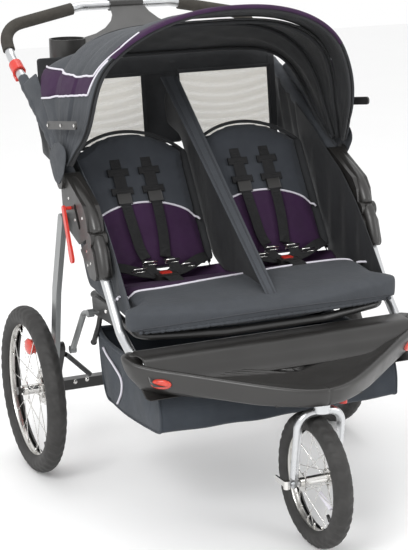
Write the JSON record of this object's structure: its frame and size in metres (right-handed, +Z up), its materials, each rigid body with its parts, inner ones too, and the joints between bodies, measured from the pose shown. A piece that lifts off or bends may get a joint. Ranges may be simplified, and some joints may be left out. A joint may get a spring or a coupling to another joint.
{
  "type": "jogging stroller",
  "caption": "Side-by-side double jogging stroller with spoked wheels, swivelling front fork, reclining seats, folding canopy, basket and a folding frame.",
  "frame": {"origin": "on the ground, under the middle of the stroller's bounding box", "axes": "+Z up, -Y the direction of travel, X across, +X to the child's left"},
  "size_m": [0.864, 1.188, 1.1059],
  "materials": {
    "silver_tube": "satin",
    "grey_paint": "satin",
    "black_plastic": "satin",
    "black_steel": "satin",
    "chrome": "polished",
    "rim_alloy": "satin",
    "tyre_rubber": "matt",
    "foam": "matt",
    "red_plastic": "gloss",
    "reflector_red": "gloss",
    "fabric_grey": "woven",
    "fabric_purple": "woven",
    "fabric_black": "woven",
    "fabric_basket": "woven",
    "mesh_cream": "open mesh",
    "webbing": "webbing",
    "piping_white": "satin cord"
  },
  "bodies": {
    "chassis": {"front_tubes": "silver_tube", "lower_housings": "black_plastic", "front_tray": "black_plastic", "side_reflectors": "reflector_red", "steering_head": "black_plastic", "seat_brackets": "black_steel", "seat_frame": "silver_tube", "seat_base": "fabric_grey", "basket": "fabric_basket", "basket_frame": "black_steel", "centre_divider": "fabric_black", "side_panels": "fabric_black", "frame_rivets": "chrome", "buckle_left": "black_plastic", "buckle_right": "black_plastic"},
    "handle": {"upper_housings": "black_plastic", "handle_tube": "silver_tube", "grips": "foam", "console": "black_plastic", "window_panel": "mesh_cream", "canopy_rear": "fabric_grey"},
    "rear_legs": {"legs": "grey_paint", "axle_beam": "black_steel", "axle_braces": "black_steel", "leg_feet": "black_steel"},
    "side_links": {"side_links": "grey_paint"},
    "backrest_hinge": {"backrest_tube": "silver_tube"},
    "seat_back_left": {"seat_back_left": "fabric_grey", "straps_left": "webbing"},
    "seat_back_right": {"seat_back_right": "fabric_grey", "straps_right": "webbing"},
    "canopy_mid_hub": {"canopy_mid_discs": "black_plastic"},
    "canopy_front_hub": {"canopy_front_discs": "black_plastic"},
    "canopy_mid": {"canopy_mid": "fabric_grey"},
    "canopy_front": {"canopy_front": "fabric_grey", "canopy_clamps": "black_plastic"},
    "fork": {"fork": "silver_tube"},
    "front_wheel": {"front_tyre": "tyre_rubber", "front_rim": "rim_alloy", "front_hub": "chrome", "front_spokes": "chrome"},
    "left_wheel": {"left_tyre": "tyre_rubber", "left_rim": "rim_alloy", "left_hub": "chrome", "left_spokes": "chrome"},
    "right_wheel": {"right_tyre": "tyre_rubber", "right_rim": "rim_alloy", "right_hub": "chrome", "right_spokes": "chrome"},
    "left_brake": {"left_brake_pedal": "red_plastic"},
    "right_brake": {"right_brake_pedal": "red_plastic"},
    "trigger_left": {"trigger_left": "red_plastic"},
    "trigger_right": {"trigger_right": "red_plastic"},
    "latch_left": {"latch_left": "red_plastic"},
    "latch_right": {"latch_right": "red_plastic"},
    "swivel_lock": {"swivel_lock": "red_plastic"},
    "quick_release": {"quick_release": "chrome"},
    "buckle_button_left": {"buckle_button_left": "red_plastic"},
    "buckle_button_right": {"buckle_button_right": "red_plastic"}
  },
  "joints": [
    {"name": "handle_fold", "type": "hinge", "parent": "chassis", "child": "handle", "pos_m": [0, -0.072, 0.622], "axis": [1, 0, 0], "range_deg": [0, 145], "deforming": ["centre_divider", "side_panels"]},
    {"name": "rear_leg_fold", "type": "hinge", "parent": "handle", "child": "rear_legs", "pos_m": [0, 0.074, 0.64], "axis": [1, 0, 0], "range_deg": [-90, 0]},
    {"name": "link_fold", "type": "hinge", "parent": "chassis", "child": "side_links", "pos_m": [0, -0.01, 0.442], "axis": [1, 0, 0], "range_deg": [0, 95]},
    {"name": "backrest_stow", "type": "hinge", "parent": "chassis", "child": "backrest_hinge", "pos_m": [0, 0.05, 0.488], "axis": [1, 0, 0], "range_deg": [0, 63]},
    {"name": "seat_recline_left", "type": "hinge", "parent": "backrest_hinge", "child": "seat_back_left", "pos_m": [0, 0.05, 0.488], "axis": [1, 0, 0], "range_deg": [-24, 0]},
    {"name": "seat_recline_right", "type": "hinge", "parent": "backrest_hinge", "child": "seat_back_right", "pos_m": [0, 0.05, 0.488], "axis": [1, 0, 0], "range_deg": [-24, 0]},
    {"name": "canopy_mid_stow", "type": "hinge", "parent": "handle", "child": "canopy_mid_hub", "pos_m": [0, 0.085, 0.728], "axis": [1, 0, 0], "range_deg": [-28, 0]},
    {"name": "canopy_front_stow", "type": "hinge", "parent": "handle", "child": "canopy_front_hub", "pos_m": [0, 0.085, 0.728], "axis": [1, 0, 0], "range_deg": [-56, 0]},
    {"name": "canopy_mid_tilt", "type": "hinge", "parent": "canopy_mid_hub", "child": "canopy_mid", "pos_m": [0, 0.085, 0.728], "axis": [1, 0, 0], "range_deg": [-28, 0]},
    {"name": "canopy_open", "type": "hinge", "parent": "canopy_front_hub", "child": "canopy_front", "pos_m": [0, 0.085, 0.728], "axis": [1, 0, 0], "range_deg": [-55, 0]},
    {"name": "fork_swivel", "type": "hinge", "parent": "chassis", "child": "fork", "pos_m": [0, -0.478, 0.33], "axis": [0, 0, 1], "continuous": true},
    {"name": "front_wheel_spin", "type": "hinge", "parent": "fork", "child": "front_wheel", "pos_m": [0, -0.448, 0.146], "axis": [1, 0, 0], "continuous": true},
    {"name": "left_wheel_spin", "type": "hinge", "parent": "rear_legs", "child": "left_wheel", "pos_m": [-0.394, 0.24, 0.2], "axis": [1, 0, 0], "continuous": true},
    {"name": "right_wheel_spin", "type": "hinge", "parent": "rear_legs", "child": "right_wheel", "pos_m": [0.394, 0.24, 0.2], "axis": [1, 0, 0], "continuous": true},
    {"name": "left_brake", "type": "hinge", "parent": "rear_legs", "child": "left_brake", "pos_m": [-0.33, 0.268, 0.222], "axis": [-1, 0, 0], "range_deg": [0, 20]},
    {"name": "right_brake", "type": "hinge", "parent": "rear_legs", "child": "right_brake", "pos_m": [0.33, 0.268, 0.222], "axis": [-1, 0, 0], "range_deg": [0, 20]},
    {"name": "trigger_left_slide", "type": "slide", "parent": "handle", "child": "trigger_left", "axis": [0, 0.8966, 0.4429], "range_m": [0, 0.012], "stiffness_N_per_m": 400},
    {"name": "trigger_right_slide", "type": "slide", "parent": "handle", "child": "trigger_right", "axis": [0, 0.8966, 0.4429], "range_m": [0, 0.012], "stiffness_N_per_m": 400},
    {"name": "latch_left_turn", "type": "hinge", "parent": "handle", "child": "latch_left", "pos_m": [-0.36, 0.035, 0.674], "axis": [1, 0, 0], "range_deg": [0, 12]},
    {"name": "latch_right_turn", "type": "hinge", "parent": "handle", "child": "latch_right", "pos_m": [0.36, 0.035, 0.674], "axis": [1, 0, 0], "range_deg": [0, 12]},
    {"name": "swivel_lock_turn", "type": "hinge", "parent": "chassis", "child": "swivel_lock", "pos_m": [0.04, -0.456, 0.322], "axis": [0, 0, 1], "range_deg": [0, 40]},
    {"name": "quick_release_turn", "type": "hinge", "parent": "fork", "child": "quick_release", "pos_m": [-0.066, -0.448, 0.146], "axis": [0, 0, 1], "range_deg": [0, 110]},
    {"name": "buckle_left_press", "type": "slide", "parent": "chassis", "child": "buckle_button_left", "axis": [0, 0, -1], "range_m": [0, 0.003], "stiffness_N_per_m": 600},
    {"name": "buckle_right_press", "type": "slide", "parent": "chassis", "child": "buckle_button_right", "axis": [0, 0, -1], "range_m": [0, 0.003], "stiffness_N_per_m": 600}
  ],
  "couplings": [
    {"joint": "rear_leg_fold", "follows": "handle_fold", "ratio": -0.586},
    {"joint": "link_fold", "follows": "handle_fold", "ratio": 0.619},
    {"joint": "backrest_stow", "follows": "handle_fold", "ratio": 0.434},
    {"joint": "canopy_mid_stow", "follows": "handle_fold", "ratio": -0.186},
    {"joint": "canopy_front_stow", "follows": "handle_fold", "ratio": -0.379},
    {"joint": "canopy_mid_tilt", "follows": "canopy_open", "ratio": 0.49},
    {"joint": "latch_left_turn", "follows": "trigger_left_slide", "rad_per_m": 17},
    {"joint": "latch_right_turn", "follows": "trigger_right_slide", "rad_per_m": 17}
  ]
}
